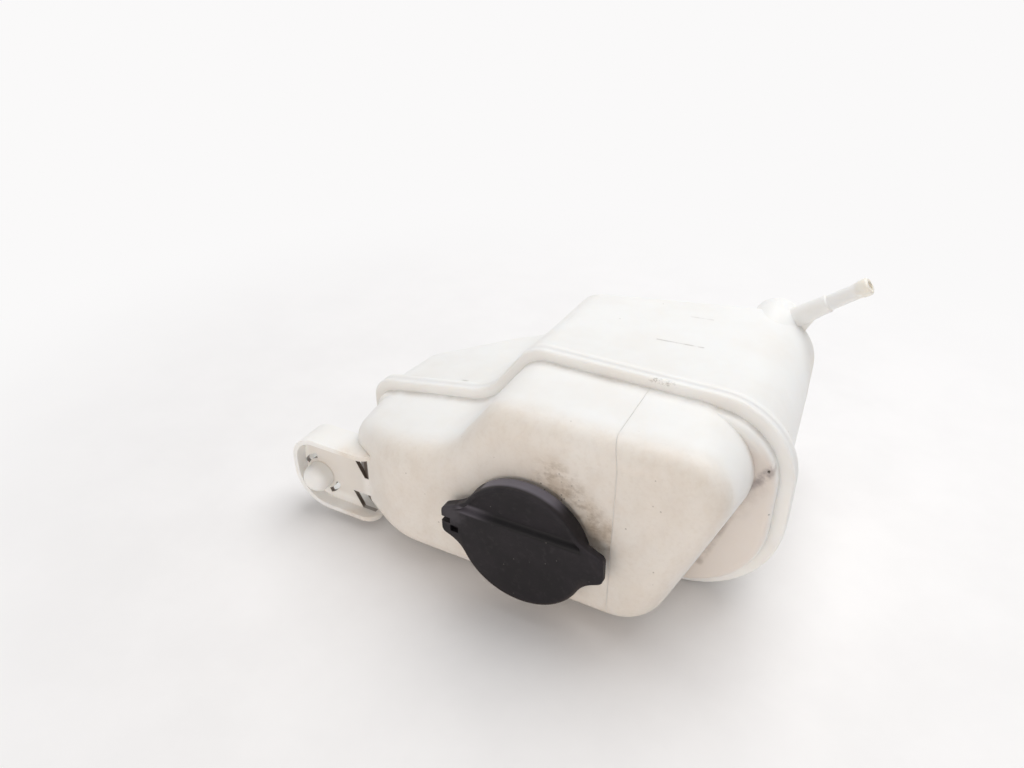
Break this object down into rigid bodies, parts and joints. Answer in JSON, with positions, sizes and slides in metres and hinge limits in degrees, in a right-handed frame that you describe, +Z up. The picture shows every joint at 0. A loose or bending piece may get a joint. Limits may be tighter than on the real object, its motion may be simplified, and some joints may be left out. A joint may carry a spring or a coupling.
{
  "type": "coolant expansion tank",
  "caption": "Welded translucent coolant expansion tank with a stepped flange, a dark twist-off filler cap, a hose outlet and a bracket ear.",
  "frame": {"origin": "on the floor, under the middle of the tank's box", "axes": "+X along the weld flange towards the hose outlet, +Z up as the tank stands in the picture, -Y out of the filler neck"},
  "size_m": [0.234, 0.1786, 0.1142],
  "materials": {
    "tank_plastic": "natural translucent polypropylene, satin, a little soiled",
    "cap_plastic": "black glass-filled plastic, fine satin grain",
    "seal_rubber": "matt black rubber"
  },
  "bodies": {
    "tank": {"front_shell": "tank_plastic", "back_shell": "tank_plastic"},
    "seal": {"cap_seal": "seal_rubber"},
    "cap": {"filler_cap": "cap_plastic"}
  },
  "joints": [
    {"name": "cap_lift", "type": "slide", "parent": "tank", "child": "seal", "axis": [0, -1, 0], "range_m": [0, 0.045]},
    {"name": "cap_turn", "type": "hinge", "parent": "seal", "child": "cap", "pos_m": [0.01647, -0.0831, 0.0395], "axis": [0, -1, 0], "range_deg": [0, 90]}
  ]
}
